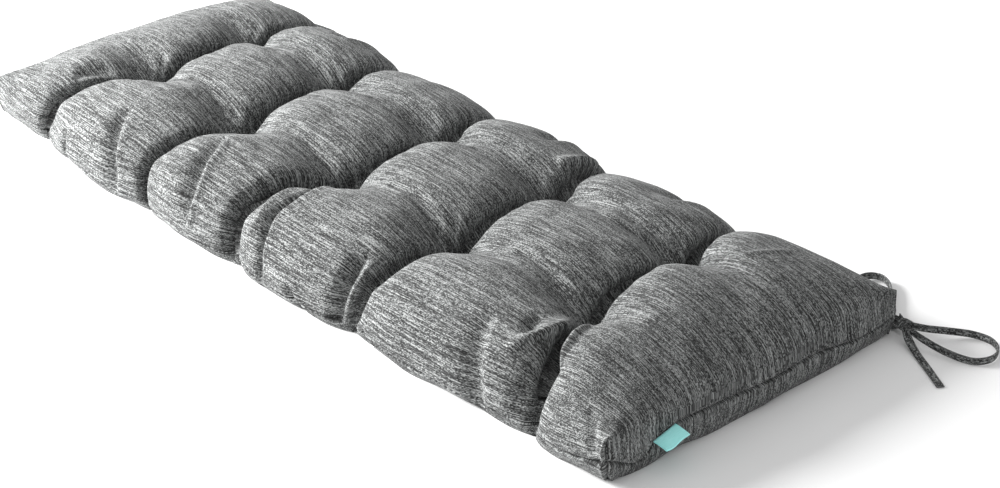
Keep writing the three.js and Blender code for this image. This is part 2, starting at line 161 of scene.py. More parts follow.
# Easing of the turn from the top into the walls, and how far from channels and corners it stays sharp
RIM_EASE, RIM_ROUNDS, RIM_REACH = 0.5, 40, 0.016
SHARP_CHANNEL, SHARP_CORNER = 0.006, 0.020

# The line of stitches along each channel
STITCH_DEPTH, STITCH_WIDTH, STITCH_FADE = 0.013, 0.008, 0.035

# Cover grid: columns in each of the six blocks, rows in each of the three bands, and the wall's layers
BLOCKS = len(CHANNELS) + 1
BLOCK_COLUMNS = 78
BAND_ROWS = 44
COLUMNS = BLOCK_COLUMNS * BLOCKS
ROWS = BAND_ROWS * 3
CROWDING, FOOT_CROWDING = 0.45, 1.6
ABOVE_SEAM, BELOW_SEAM = 6, 5
SEAM_STEPS = np.array((-6.0, -4.0, -2.6, -1.6, -0.8, 0.0, 0.8, 1.6, 2.6, 4.0, 6.0)) * 0.001
SEAM_LAYER = ABOVE_SEAM + len(SEAM_STEPS) // 2
LAYERS = ABOVE_SEAM + len(SEAM_STEPS) + BELOW_SEAM - 1
BOTTOM_STEP = 6

# How far the bottom panel's cloth is shifted, so that its yarns don't carry on from the top panel's
BOTTOM_CLOTH_SHIFT = 0.731

# Ties: flat straps, each knotted with its twin beside the corner
STRAP_WIDTH, STRAP_THICKNESS = 0.0095, 0.0018
LOOP_STEPS, END_STEPS, ROOT_STEPS = 72, 32, 10

# Knot: its middle from the corner, its winding in radians, the growth of its radius, its drift and its lean
KNOT_CENTRE = np.array((0.014, 0.003, 0.018))
KNOT_START, KNOT_END, KNOT_STEPS = -0.3, 3 * math.pi, 60
KNOT_RADIUS, KNOT_FLATTEN = 0.0085, 0.82
KNOT_TIGHT, KNOT_GROWTH, KNOT_DRIFT = 0.80, 0.02, 0.007
KNOT_LEAN = -0.4
KNOT_STRAP = (0.85, 1.2)
KNOT_SLANT = np.array((1.0, 0.25, 0.1))

# Strap routes from the corner: x and y outwards, height, and stand (1 on edge, 0 flat)
LOOP_OUT_RIGHT = (
    (0.014, 0.005, 0.018, 1),
    (0.030, 0.020, 0.014, 1),
    (0.047, 0.043, 0.009, 1),
    (0.067, 0.062, 0.0058, 1),
    (0.089, 0.066, 0.0056, 1),
    (0.107, 0.055, 0.0056, 1),
    (0.113, 0.034, 0.0056, 1),
    (0.103, 0.015, 0.0056, 1),
    (0.073, 0.007, 0.006, 1),
    (0.040, 0.003, 0.011, 1),
    (0.014, 0.001, 0.018, 1),
)
LOOP_BACK_RIGHT = (
    (0.013, 0.006, 0.018, 1),
    (0.007, 0.013, 0.015, 1),
    (-0.006, 0.015, 0.012, 1),
    (-0.024, 0.024, 0.009, 1),
    (-0.041, 0.046, 0.0065, 1),
    (-0.057, 0.068, 0.0056, 1),
    (-0.075, 0.0835, 0.0056, 1),
    (-0.0895, 0.0875, 0.0056, 1),
    (-0.101, 0.0805, 0.0056, 1),
    (-0.1045, 0.067, 0.0056, 1),
    (-0.0975, 0.055, 0.0056, 1),
    (-0.080, 0.042, 0.0056, 1),
    (-0.056, 0.029, 0.0058, 1),
    (-0.029, 0.0165, 0.008, 1),
    (-0.005, 0.011, 0.012, 1),
    (0.012, 0.005, 0.018, 1),
)
LOOP_OUT_LEFT = (
    (0.014, 0.001, 0.018, 1),
    (0.029, -0.014, 0.014, 1),
    (0.041, -0.036, 0.009, 1),
    (0.052, -0.068, 0.0058, 1),
    (0.058, -0.100, 0.0056, 1),
    (0.052, -0.1145, 0.0056, 1),
    (0.0375, -0.1205, 0.0056, 1),
    (0.023, -0.1145, 0.0056, 1),
    (0.017, -0.100, 0.0056, 1),
    (0.017, -0.072, 0.0056, 1),
    (0.016, -0.038, 0.008, 1),
    (0.013, 0.000, 0.018, 1),
)
LOOP_BACK_LEFT = (
    (0.013, 0.006, 0.018, 1),
    (0.010, 0.017, 0.014, 1),
    (-0.004, 0.035, 0.009, 1),
    (-0.034, 0.051, 0.0058, 1),
    (-0.064, 0.058, 0.0056, 1),
    (-0.092, 0.059, 0.0056, 1),
    (-0.1065, 0.053, 0.0056, 1),
    (-0.1125, 0.0385, 0.0056, 1),
    (-0.1065, 0.024, 0.0056, 1),
    (-0.092, 0.018, 0.0056, 1),
    (-0.064, 0.018, 0.0056, 1),
    (-0.038, 0.0175, 0.0058, 1),
    (-0.014, 0.0145, 0.0095, 1),
    (0.012, 0.005, 0.018, 1),
)
END_OUT_RIGHT = (
    (0.014, 0.002, 0.017, 0.6),
    (0.027, -0.006, 0.009, 0.3),
    (0.046, -0.015, 0.003, 0),
    (0.074, -0.030, 0.0015, 0),
    (0.108, -0.050, 0.0015, 0),
)
END_OUT_LEFT = (
    (0.014, 0.003, 0.017, 0.6),
    (0.028, 0.005, 0.009, 0.3),
    (0.044, 0.005, 0.003, 0),
    (0.068, 0.001, 0.0015, 0),
    (0.096, -0.006, 0.0015, 0),
)
END_BACK = (
    (0.013, 0.004, 0.017, 0.6),
    (0.007, 0.010, 0.009, 0.3),
    (-0.006, 0.012, 0.003, 0),
    (-0.032, 0.0105, 0.0015, 0),
    (-0.068, 0.009, 0.0015, 0),
)
ROOT = (
    (0.0039, 0.0046, 0.024, 1),
    (0.0085, 0.0042, 0.0215, 1),
    (0.014, 0.003, 0.018, 1),
)

# Tab: a folded woven strip standing out of the near end's seam
TAB_LENGTH, TAB_REACH = 0.033, 0.020
TAB_Y, TAB_Z, TAB_ROOT = -0.1535, 0.037, 0.0025
TAB_SLANT, TAB_DROOP = math.radians(14), -0.003
TAB_CLOTH, TAB_FOLD = 0.0005, 0.0006
TAB_COLUMNS, TAB_RUN, TAB_TURN = 25, 10, 7
TAB_RIPPLE, TAB_RIPPLE_RATE = 0.0006, 260
TAB_LIFT, TAB_LIFT_REACH, TAB_LIFT_UNDER = 0.0008, 0.008, -0.6
TAB_DRAW, TAB_DRAW_REACH = 0.0015, 0.004

# Cloth: the pitch of its yarns and of the weft that crosses them, and how much each pattern counts
YARN, PICK = 0.0007, 0.0018
SLUB_STEPS, YARN_APART = 40, 3.7
CROSSING_WEIGHT, BAND_WEIGHT = 0.58, 0.10
BAND_LENGTH, BAND_WIDTH = 0.200, 0.0060
COVER_SLUB, COVER_SLUB_WEIGHT, COVER_TONE = 0.046, 1.26, 0.497
STRAP_SLUB, STRAP_SLUB_WEIGHT, STRAP_TONE = 0.020, 0.60, 0.52
CLOTH_ROUGHNESS = (0.82, 0.98)
CLOTH_RELIEF, CLOTH_RELIEF_STRENGTH = 0.0004, 0.4
CLOTH_GLOSS, CLOTH_SHEEN, CLOTH_SHEEN_ROUGHNESS = 0.15, 0.06, 0.6

# Ribbon of the tab: its cross ribs and its cloudiness
RIB_PITCH, RIB_LENGTH, RIB_WEIGHT = 0.00055, 0.006, 0.6
CLOUD_SIZE, CLOUD_WEIGHT = 0.010, 0.4
RIBBON_ROUGHNESS = (0.45, 0.65)
RIB_RELIEF, RIB_RELIEF_STRENGTH = 0.0002, 0.5
RIBBON_SHEEN = 0.1

# Colours by value: the value, then linear red, green and blue
HEATHER_COLOURS = (
    (0.15, 0.010, 0.010, 0.010),
    (0.40, 0.042, 0.043, 0.043),
    (0.55, 0.095, 0.098, 0.097),
    (0.70, 0.200, 0.206, 0.204),
    (0.90, 0.340, 0.349, 0.346),
)
RIBBON_COLOURS = (
    (0.25, 0.360, 0.900, 0.880),
    (0.50, 0.410, 0.950, 0.930),
    (0.75, 0.460, 0.980, 0.970),
)
PAPER_COLOURS = (
    (0.3, 0.93, 0.93, 0.93),
    (0.7, 0.96, 0.96, 0.96),
)

# Floor and light
FLOOR_HALF, PAPER_CLOUD, PAPER_ROUGHNESS = 6.0, 0.4, 0.9
KEY_PLACE = Vector((-2.6, -1.7, 1.25))
KEY_SIZE, KEY_POWER = 2.0, 464
WORLD_LIGHT = 0.66

# Camera: the photograph's angle to the cushion, its distance and its lens
CAMERA_AZIMUTH, CAMERA_ELEVATION = math.radians(48.6), math.radians(28.5)
CAMERA_TARGET = Vector((0.2014, -0.0144, 0.040))
CAMERA_DISTANCE = 2.4606
CAMERA_LENS = 73.47


# Curves through tables, and soft random heights

def cubic(t, span, start, end, slope_in, slope_out):
    """A cubic from start to end as t goes from 0 to 1, with the slopes that it leaves and arrives by."""
    rest = 1 - t
    leaving = (1 + 2 * t) * rest**2 * start + t * rest**2 * span * slope_in
    arriving = t * t * (3 - 2 * t) * end - t * t * rest * span * slope_out
    return leaving + arriving


def through(places, values, at):
    """A smooth curve through a table of values, level at both ends."""
    places = np.asarray(places, float)
    values = np.asarray(values, float)
    slope = np.gradient(values, places)
    slope[0] = slope[-1] = 0
    at = np.clip(at, places[0], places[-1])
    n = np.clip(np.searchsorted(places, at, side="right") - 1, 0, len(places) - 2)
    span = places[n + 1] - places[n]
    t = (at - places[n]) / span
    return cubic(t, span, values[n], values[n + 1], slope[n], slope[n + 1])


def bell(distance, reach):
    return np.exp(-((distance / reach) ** 2))


def unevenness(points, wavelength, seed):
    """Soft random heights of about -1 to 1, with swells of about that wavelength."""
    waves = 9
    shortest, longest = 0.75, 1.35
    source = np.random.default_rng(seed)
    total = np.zeros(len(points))
    for _ in range(waves):
        direction = source.normal(size=3)
        direction /= np.linalg.norm(direction)
        pitch = wavelength * source.uniform(shortest, longest)
        total += np.sin(points @ direction * (2 * np.pi / pitch) + source.uniform(0, 2 * np.pi))
    return total / math.sqrt(waves)


# The shape of the filled cover

def half_length(y):
    return HALF_LENGTH + END_BULGE * (1 - np.minimum(1, np.abs(y) / HALF_WIDTH) ** BULGE_POWER)


def half_width(x, side):
    front = through(SIDE_X, SIDE_FRONT, x)
    back = through(SIDE_X, SIDE_BACK, x)
    return HALF_WIDTH + np.where(side < 0, front, back)


def crowded(steps):
    """Shares from 0 up to 1, closer together at both ends."""
    t = np.arange(steps) / steps
    return (1 - CROWDING) * t + CROWDING * (1 - np.cos(np.pi * t)) / 2


def row_places():
    """Each row's place across, from -1 at the front rim to 1 at the back rim."""
    edges = (-1, NEAR_ROW / HALF_WIDTH, FAR_ROW / HALF_WIDTH, 1)
    bands = [low + (high - low) * crowded(BAND_ROWS) for low, high in zip(edges, edges[1:])]
    return np.append(np.concatenate(bands), 1.0)


COLUMN_SHARE = np.append(np.tile(crowded(BLOCK_COLUMNS), BLOCKS), 1.0)
COLUMN_BLOCK = np.append(np.repeat(np.arange(BLOCKS), BLOCK_COLUMNS), BLOCKS - 1)
ROW_PLACE = row_places()


def column_at(column, across, level):
    """Where a column's block starts and ends in X there, and the column's own X."""
    lines = [through(CHANNEL_ACROSS, channel, across) for channel in CHANNELS]
    edges = np.stack([-half_length(level), *lines, half_length(level)])
    block = COLUMN_BLOCK[column]
    start = np.take_along_axis(edges, block[None], 0)[0]
    end = np.take_along_axis(edges, block[None] + 1, 0)[0]
    return start, end, start + (end - start) * COLUMN_SHARE[column]


def channel_gap(column, start, end, x):
    """Distance along X to the nearest sewn channel."""
    block = COLUMN_BLOCK[column]
    before = np.where(block > 0, x - start, np.inf)
    after = np.where(block < BLOCKS - 1, end - x, np.inf)
    return np.minimum(before, after)


def row_gap(across):
    return np.minimum(np.abs(across - NEAR_ROW), np.abs(across - FAR_ROW))


def roll(place, begin):
    """The quarter arc by which the crown rolls down to the rim, from 1 to 0."""
    past = np.clip((np.minimum(1, np.abs(place)) - begin) / (1 - begin), 0, 1)
    return (1 - past**ROLL_POWER) ** (1 / ROLL_POWER)


def crown_height(x, y):
    """Height of the filled cover before it is tufted."""
    along = np.abs(x) / half_length(y)
    across = np.abs(y) / half_width(x, y)
    corner = RIM_END - RIM_SIDE + (RIM_CORNER - RIM_END) * across**RISE_ACROSS
    rim = RIM_SIDE + along**RISE_ALONG * corner
    return rim + (CROWN - rim) * roll(along, ROLL_ALONG) * roll(across, ROLL_ACROSS)


def crown_normal(x, y):
    step = 0.0005
    x = x - np.sign(x) * step
    y = y - np.sign(y) * step
    slope_x = (crown_height(x + step, y) - crown_height(x - step, y)) / (2 * step)
    slope_y = (crown_height(x, y + step) - crown_height(x, y - step)) / (2 * step)
    normal = np.stack([-slope_x, -slope_y, np.ones_like(slope_x)], -1)
    return normal / np.linalg.norm(normal, axis=-1, keepdims=True)


def tuft_depth(column, start, end, x, across):
    """How far the stitching draws the cover in."""
    block = COLUMN_BLOCK[column]
    gap = channel_gap(column, start, end, x)
    in_arc = 1 - np.minimum(1, gap / np.minimum(LUMP_REACH, (end - start) / 2))
    at_row = bell(row_gap(across), TUFT_REACH)
    power = LUMP_FULLNESS + (ROW_FULLNESS - LUMP_FULLNESS) * at_row
    lump = (1 - in_arc**power) ** (1 / power)
    channel = through(DEPTH_ACROSS, DEPTH, np.abs(across)) + TUFT_PULL * at_row
    end_block = (block == 0) | (block == BLOCKS - 1)
    fade = np.where(end_block, bell(gap, VALLEY_FADE), 1)
    valley = VALLEY_DEPTH * bell(row_gap(across), VALLEY_REACH) * fade
    return channel * (1 - lump) + (valley - np.asarray(BLOCK_FILL)[block]) * lump


def valley_creases():
    """The crease in each row's valley, as folds."""
    middle = (CREASE_NEAR_END + CREASE_FAR_END) / 2
    creases = []
    for tufts in TUFTS[1:]:
        for (x, row), shift in zip(tufts, (CREASE_SHIFT_NEAR, CREASE_SHIFT_FAR)):
            beside = row + shift
            line = ((x - CREASE_FAR_END, beside), (x - middle, beside), (x - CREASE_NEAR_END, row))
            creases.append((line, CREASE_WIDTH, CREASE_WIDTH, CREASE_DEPTH, 0.0))
    return creases


def fold_line(places):
    """A fold's line as a close-set smooth curve."""
    places = np.asarray(places)
    knots = np.arange(len(places))
    at = np.linspace(0, len(places) - 1, FOLD_STEPS * (len(places) - 1) + 1)
    return np.stack([through(knots, places[:, 0], at), through(knots, places[:, 1], at)], 1)


def fold_depth(x, across):
    """How far the loose folds dent the cover there."""
    total = np.zeros_like(x)
    spots = np.stack([x, across], 1)
    for places, before, after, depth, lip in (*FOLDS, *valley_creases()):
        line = fold_line(places)
        reach = FOLD_REACH * max(before, after)
        low = line.min(0) - reach
        high = line.max(0) + reach
        near = np.flatnonzero(((spots > low) & (spots < high)).all(1))
        if not len(near):
            continue
        away, side, share = from_line(spots[near], line)
        taper = np.sin(np.pi * share) ** FOLD_TAPER
        dent = depth * bell(away, np.where(side < 0, before, after))
        raised = lip * bell(away - LIP_AT * after, LIP_SPREAD * after) * (side > 0)
        total[near] += taper * (dent - raised)
    return total


def from_line(spots, line):
    """Each spot's distance from a line, which side of it in X, and its share of the line's length."""
    away = np.full(len(spots), np.inf)
    side = np.zeros(len(spots))
    share = np.zeros(len(spots))
    for n, (start, step) in enumerate(zip(line, np.diff(line, axis=0))):
        t = np.clip((spots - start) @ step / (step @ step), 0, 1)
        off = spots - start - t[:, None] * step
        distance = np.hypot(off[:, 0], off[:, 1])
        closer = distance < away
        away = np.where(closer, distance, away)
        side = np.where(closer, off[:, 0], side)
        share = np.where(closer, (n + t) / (len(line) - 1), share)
    return away, side, share


def seam_height(x, y, end):
    """Height of the seam between the top and bottom panels; end is -1, 0 or 1."""
    far = SEAM_END - (SEAM_END - SEAM_CORNER) * np.minimum(1, np.abs(y) / HALF_WIDTH) ** BULGE_POWER
    near = through(NEAR_SEAM_Y, NEAR_SEAM_Z, y)
    corner = np.where(x > 0, NEAR_SEAM_Z[0], SEAM_CORNER)
    corner = np.where((x > 0) & (y > 0), NEAR_SEAM_Z[-1], corner)
    side = SEAM_SIDE + (corner - SEAM_SIDE) * np.minimum(1, np.abs(x) / HALF_LENGTH) ** SEAM_RISE
    return np.select([end < 0, end > 0], [far, near], side)


def wall_shares(rim, seam):
    """Shares of the wall's height from rim to foot, with close-set layers along the seam."""
    at = 1 - seam / rim
    first = at + SEAM_STEPS[0] / rim
    last = at + SEAM_STEPS[-1] / rim
    above = [first * n / ABOVE_SEAM for n in range(ABOVE_SEAM)]
    beside = [at + step / rim for step in SEAM_STEPS]
    eased = [1 - (1 - n / BELOW_SEAM) ** FOOT_CROWDING for n in range(1, BELOW_SEAM + 1)]
    below = [last + (1 - last) * share for share in eased]
    return np.stack(above + beside + below)


def wall_swell(share):
    """How far the wall stands out from the rim at a share of its height."""
    return WALL_SWELL * np.sin(np.pi * share) ** 2 - WALL_TUCK * share**TUCK_POWER


def ring():
    """Columns and rows of the rim, once round from the front left corner."""
    along = np.arange(COLUMNS)
    across = np.arange(ROWS)
    columns = [along, np.full(ROWS, COLUMNS), COLUMNS - along, np.zeros(ROWS, int)]
    rows = [np.zeros(COLUMNS, int), across, np.full(COLUMNS, ROWS), ROWS - across]
    return np.concatenate(columns), np.concatenate(rows)


def top_points():
    """The top panel's points, their places (x, across), and their distance to a channel."""
    column, row = np.meshgrid(np.arange(COLUMNS + 1), np.arange(ROWS + 1), indexing="ij")
    column, row = column.ravel(), row.ravel()
    place = ROW_PLACE[row]
    level = place * HALF_WIDTH
    start, end, x = column_at(column, level, level)
    y = place * half_width(x, place)
    depth = tuft_depth(column, start, end, x, level)
    points = np.stack([x, y, crown_height(x, y)], 1) - crown_normal(x, y) * depth[:, None]
    return points, np.stack([x, level], 1), channel_gap(column, start, end, x)


def wall_points():
    """The walls' points by layers, their places, channel distances and the length of cloth above them."""
    column, row = ring()
    place = ROW_PLACE[row]
    level = place * HALF_WIDTH
    out_x = (column == COLUMNS).astype(int) - (column == 0)
    out_y = (row == ROWS).astype(int) - (row == 0)
    on_end = out_x != 0
    rim_x = column_at(column, level, level)[2]
    rim = crown_height(rim_x, place * half_width(rim_x, place))
    shares = wall_shares(rim, seam_height(rim_x, level, out_x))
    layers = []
    for share in shares:
        down = rim * share
        across = level + out_y * down
        start, end, x = column_at(column, across, level)
        drawn = np.where(on_end, 0, tuft_depth(column, start, end, x, across))
        unfolded_x = x + out_x * down
        out = wall_swell(share) - drawn
        y = place * half_width(x, place) + out_y * out
        points = np.stack([x + out_x * out, y, rim - down], 1)
        gap = np.where(on_end, np.inf, channel_gap(column, start, end, x))
        layers.append((points, np.stack([unfolded_x, across], 1), gap, down))
    return [np.array(part) for part in zip(*layers)]


# The cover's mesh

class Cover:
    """Numbered points of the cover: the top grid, then the wall's layers, then the bottom's inner points."""

    def __init__(self):
        top, top_places, top_gap = top_points()
        walls, wall_places, wall_gap, self.down = wall_points()
        self.column, self.row = ring()
        self.top_ids = np.arange(len(top)).reshape(COLUMNS + 1, ROWS + 1)
        rim_ids = self.top_ids[self.column, self.row]
        top[rim_ids] = walls[0]
        count = len(self.column)
        lower = len(top) + np.arange(LAYERS * count).reshape(LAYERS, count)
        self.wall_ids = np.vstack([rim_ids[None], lower])
        self.points = np.vstack([top, walls[1:].reshape(-1, 3)])
        self.places = np.vstack([top_places, wall_places[1:].reshape(-1, 2)])
        self.gap = np.concatenate([top_gap, wall_gap[1:].ravel()])
        self.quads = np.vstack([self.top_quads(), self.wall_quads()])

    def top_quads(self):
        ids = self.top_ids
        corners = (ids[:-1, :-1], ids[1:, :-1], ids[1:, 1:], ids[:-1, 1:])
        return np.stack(corners, -1).reshape(-1, 4)

    def wall_quads(self):
        upper, lower = self.wall_ids[:-1], self.wall_ids[1:]
        corners = (upper, lower, np.roll(lower, -1, 1), np.roll(upper, -1, 1))
        return np.stack(corners, -1).reshape(-1, 4)

    def normals(self):
        a, b, c, d = (self.points[self.quads[:, n]] for n in range(4))
        facing = np.cross(c - a, d - b)
        total = np.zeros_like(self.points)
        for axis in range(3):
            for n in range(4):
                total[:, axis] += np.bincount(self.quads[:, n], facing[:, axis], len(total))
        return total / np.maximum(np.linalg.norm(total, axis=1, keepdims=True), 1e-12)

    def relax(self, weight, rounds):
        """Moves each point towards the middle of its neighbours, by its weight."""
        pairs = np.vstack([self.quads[:, [n, (n + 1) % 4]] for n in range(4)])
        degree = np.bincount(pairs[:, 0], minlength=len(self.points))
        for _ in range(rounds):
            for axis in range(3):
                values = self.points[:, axis]
                middle = np.bincount(pairs[:, 0], values[pairs[:, 1]], len(values)) / np.maximum(degree, 1)
                self.points[:, axis] = values + weight * (middle - values)

    def bottom_faces(self):
        """The bottom panel in wide cells, its outer cells taking in every point of the foot."""
        foot = {}
        for column, row, point in zip(self.column, self.row, self.wall_ids[-1]):
            foot[int(column), int(row)] = int(point)
        columns = range(0, COLUMNS + 1, BOTTOM_STEP)
        rows = range(0, ROWS + 1, BOTTOM_STEP)
        inner = {}
        added = []
        for column in columns[1:-1]:
            for row in rows[1:-1]:
                inner[column, row] = len(self.points) + len(added)
                added.append(self.bottom_point(foot, column, row))
        self.points = np.vstack([self.points, added])
        faces = []
        for column in columns[:-1]:
            for row in rows[:-1]:
                faces.append(self.bottom_cell(foot, inner, column, row))
        return faces

    def bottom_point(self, foot, column, row):
        front = self.points[foot[column, 0]]
        back = self.points[foot[column, ROWS]]
        point = front + (back - front) * (ROW_PLACE[row] + 1) / 2
        point[2] = 0
        for tufts in TUFTS:
            for x, y in tufts:
                away = math.hypot(point[0] - x, point[1] - y) / DIMPLE_REACH
                if away < 1:
                    point[2] += DIMPLE_RISE * math.cos(math.pi / 2 * away) ** 2
        return point

    def bottom_cell(self, foot, inner, column, row):
        step = BOTTOM_STEP
        walk = [(column, row + n) for n in range(step)]
        walk += [(column + n, row + step) for n in range(step)]
        walk += [(column + step, row + step - n) for n in range(step)]
        walk += [(column + step - n, row) for n in range(step)]
        return [foot.get(spot, inner.get(spot)) for spot in walk if spot in foot or spot in inner]

    def cloth_places(self):
        """Each face corner's place on the cloth, in metres: along the yarn, then across it."""
        grid = self.points[self.top_ids]
        along = np.append(0, np.cumsum(np.linalg.norm(np.diff(grid, axis=0), axis=-1).mean(1)))
        across = np.append(0, np.cumsum(np.linalg.norm(np.diff(grid, axis=1), axis=-1).mean(0)))
        top = np.stack(np.meshgrid(along, across, indexing="ij"), -1)
        top = np.stack([top[:-1, :-1], top[1:, :-1], top[1:, 1:], top[:-1, 1:]], 2).reshape(-1, 2)
        return np.vstack([top, self.wall_cloth(along, across)])

    def wall_cloth(self, along, across):
        following = np.roll(np.arange(len(self.column)), -1)
        side = np.repeat(np.arange(4), (COLUMNS, ROWS, COLUMNS, ROWS))
        corners = []
        for ends, step in ((0, 0), (0, 1), (1, 1), (1, 0)):
            at = following if ends else np.arange(len(following))
            down = self.down[step:LAYERS + step, at]
            flat_along = np.broadcast_to(along[self.column[at]], down.shape)
            flat_across = np.broadcast_to(across[self.row[at]], down.shape)
            u = np.select([side == 1, side == 3], [along[-1] + down, -down], flat_along)
            v = np.select([side == 0, side == 2], [-down, across[-1] + down], flat_across)
            corners.append(np.stack([u, v], -1))
        places = np.stack(corners, 2)
        places[SEAM_LAYER:, :, :, 1] += BOTTOM_CLOTH_SHIFT
        return places.reshape(-1, 2)


def rim_weight(cover):
    """Where the top turns into the walls, the turn is eased; channels and corners stay sharp."""
    x, across = np.abs(cover.places.T)
    to_side = np.abs(across - HALF_WIDTH)
    to_end = np.abs(x - HALF_LENGTH)
    near_rim = np.maximum(bell(to_side, RIM_REACH), bell(to_end, RIM_REACH))
    off_channel = 1 - bell(cover.gap, SHARP_CHANNEL)
    off_corner = 1 - bell(np.hypot(to_side, to_end), SHARP_CORNER)
    return RIM_EASE * near_rim * off_channel * off_corner


def pucker_height(cover):
    """Small gathers in the cover beside the channels and round the tufts."""
    x, across = cover.places.T
    wander = unevenness(cover.points, WANDER_LENGTH, WANDER_SEED)
    ripple = np.sin(across * 2 * np.pi / PUCKER_PITCH + PUCKER_WANDER * wander + PUCKER_SHIFT * np.sign(x))
    beside = np.exp(-cover.gap / PUCKER_REACH) * (1 - bell(cover.gap, PUCKER_CLEAR))
    height = PUCKER_HEIGHT * ripple * beside
    for n, tufts in enumerate(TUFTS):
        for tuft_x, tuft_y in tufts:
            away = np.hypot(x - tuft_x, across - tuft_y)
            angle = np.arctan2(across - tuft_y, x - tuft_x)
            gather = np.sin(GATHER_COUNT * angle + n + GATHER_WANDER * wander)
            height += GATHER_HEIGHT * gather * bell(away - GATHER_AT, GATHER_SPREAD)
    return height


def sewn_height(cover):
    """The sewn seam's groove and lips, and the corner darts, as heights over the cover."""
    height = np.zeros(len(cover.points))
    lip = bell(np.abs(SEAM_STEPS) - SEAM_LIP_AT, SEAM_LIP_WIDTH)
    section = SEAM_LIP * lip - SEAM_GROOVE * bell(SEAM_STEPS, SEAM_WIDTH)
    layers = slice(ABOVE_SEAM, ABOVE_SEAM + len(SEAM_STEPS))
    height[cover.wall_ids[layers]] += section[:, None]
    walls = np.unique(cover.wall_ids)
    x, across = np.abs(cover.places[walls].T)
    away = HALF_LENGTH - np.minimum(x, HALF_LENGTH) + HALF_WIDTH - np.minimum(across, HALF_WIDTH)
    height[walls] += DART_RIDGE * bell(away - DART_RIDGE_AT, DART_RIDGE_WIDTH)
    height[walls] -= DART_GROOVE * bell(away, DART_WIDTH)
    return height


def shaped_cover():
    """The cover with its rim eased, then raised and drawn in along its normals."""
    cover = Cover()
    cover.relax(rim_weight(cover), RIM_ROUNDS)
    above = cover.points[:, 2]
    height = np.zeros(len(above))
    for swell, wavelength, seed in SWELLS:
        height += swell * unevenness(cover.points, wavelength, seed)
    height *= np.clip(above / SWELL_FADE, 0, 1)
    height += FOOT_WAVE * unevenness(cover.points, FOOT_WAVELENGTH, FOOT_SEED) * bell(above, FOOT_HEIGHT)
    height += pucker_height(cover) + sewn_height(cover) - fold_depth(*cover.places.T)
    height -= STITCH_DEPTH * bell(cover.gap, STITCH_WIDTH) * np.clip(above / STITCH_FADE, 0, 1)
    cover.points += cover.normals() * height[:, None]
    cover.points[:, 2] = np.maximum(cover.points[:, 2], 0)
    return cover


def new_mesh(name, points, faces, cloth):
    """A smooth mesh with its cloth places in a UV map named cloth."""
    mesh = bpy.data.meshes.new(name)
    mesh.from_pydata([tuple(p) for p in points], [], [list(map(int, f)) for f in faces])
    layer = mesh.uv_layers.new(name="cloth")
    layer.data.foreach_set("uv", np.asarray(cloth, np.float32).ravel())
    mesh.polygons.foreach_set("use_smooth", [True] * len(mesh.polygons))
    mesh.update()
    obj = bpy.data.objects.new(name, mesh)
    bpy.context.collection.objects.link(obj)
    return obj


def cushion_piece():
    cover = shaped_cover()
    cloth = cover.cloth_places()
    bottom = cover.bottom_faces()
    faces = [*cover.quads.tolist(), *bottom]
    under = np.concatenate([cover.points[face][:, :2] for face in bottom])
    return new_mesh("cushion_cover", cover.points, faces, np.vstack([cloth, under + BOTTOM_CLOTH_SHIFT]))


# Ties

def smooth_route(route, steps):
    """Close-set points along a route, with the strap's stand at each."""
    rows = np.asarray(route, float)
    knots = np.append(0, np.cumsum(np.sqrt(np.linalg.norm(np.diff(rows[:, :3], axis=0), axis=1))))
    slope = np.gradient(rows, knots, axis=0)
    at = np.linspace(0, knots[-1], steps)
    n = np.clip(np.searchsorted(knots, at, side="right") - 1, 0, len(knots) - 2)
    span = (knots[n + 1] - knots[n])[:, None]
    t = (at - knots[n])[:, None] / span
    return cubic(t, span, rows[n], rows[n + 1], slope[n], slope[n + 1])


def strap_section():
    """Half widths and half thicknesses round the strap: a flat tube, stitched close to one edge."""
    upper = ((1.0, 0.0), (0.95, 0.72), (0.80, 1.0), (0.70, 0.62), (0.60, 1.0), (0.2, 1.1),
             (-0.4, 1.1), (-0.8, 1.0), (-0.95, 0.72), (-1.0, 0.0))
    lower = [(wide, -thick) for wide, thick in reversed(upper[1:-1])]
    section = np.array([*upper, *lower])
    return section * (STRAP_WIDTH / 2, STRAP_THICKNESS / 2)


def strap_rings(centres, stand):
    """Rings of points round a strap's middle line."""
    along = np.gradient(centres, axis=0)
    along[:, 2] = 0
    along /= np.linalg.norm(along, axis=1, keepdims=True)
    up = np.array((0.0, 0.0, 1.0))
    level = np.cross(up, along)
    turn = (np.clip(stand, 0, 1) * np.pi / 2)[:, None]
    wide = level * np.cos(turn) + up * np.sin(turn)
    thick = up * np.cos(turn) - level * np.sin(turn)
    section = strap_section()
    offsets = section[None, :, :1] * wide[:, None] + section[None, :, 1:] * thick[:, None]
    return centres[:, None] + offsets


def tube(rings):
    """Points, faces and cloth places of a closed tube through rings of points."""
    count, sides = rings.shape[:2]
    ids = np.arange(count * sides).reshape(count, sides)
    following = np.roll(ids, -1, 1)
    quads = np.stack([ids[:-1], following[:-1], following[1:], ids[1:]], -1).reshape(-1, 4)
    faces = [*quads.tolist(), ids[0][::-1].tolist(), ids[-1].tolist()]
    length = np.append(0, np.cumsum(np.linalg.norm(np.diff(rings.mean(1), axis=0), axis=1)))
    girth = np.linspace(0, 2 * STRAP_WIDTH, sides + 1)
    v = np.broadcast_to(girth[:-1], (count, sides))
    v_next = np.broadcast_to(girth[1:], (count, sides))
    u = np.broadcast_to(length[:, None], (count, sides))
    corners = [(u[:-1], v[:-1]), (u[:-1], v_next[:-1]), (u[1:], v_next[1:]), (u[1:], v[1:])]
    cloth = np.stack([np.stack(corner, -1) for corner in corners], 2).reshape(-1, 2)
    caps = np.concatenate([np.stack([u[0], v[0]], -1)[::-1], np.stack([u[-1], v[-1]], -1)])
    return rings.reshape(-1, 3), faces, np.vstack([cloth, caps])


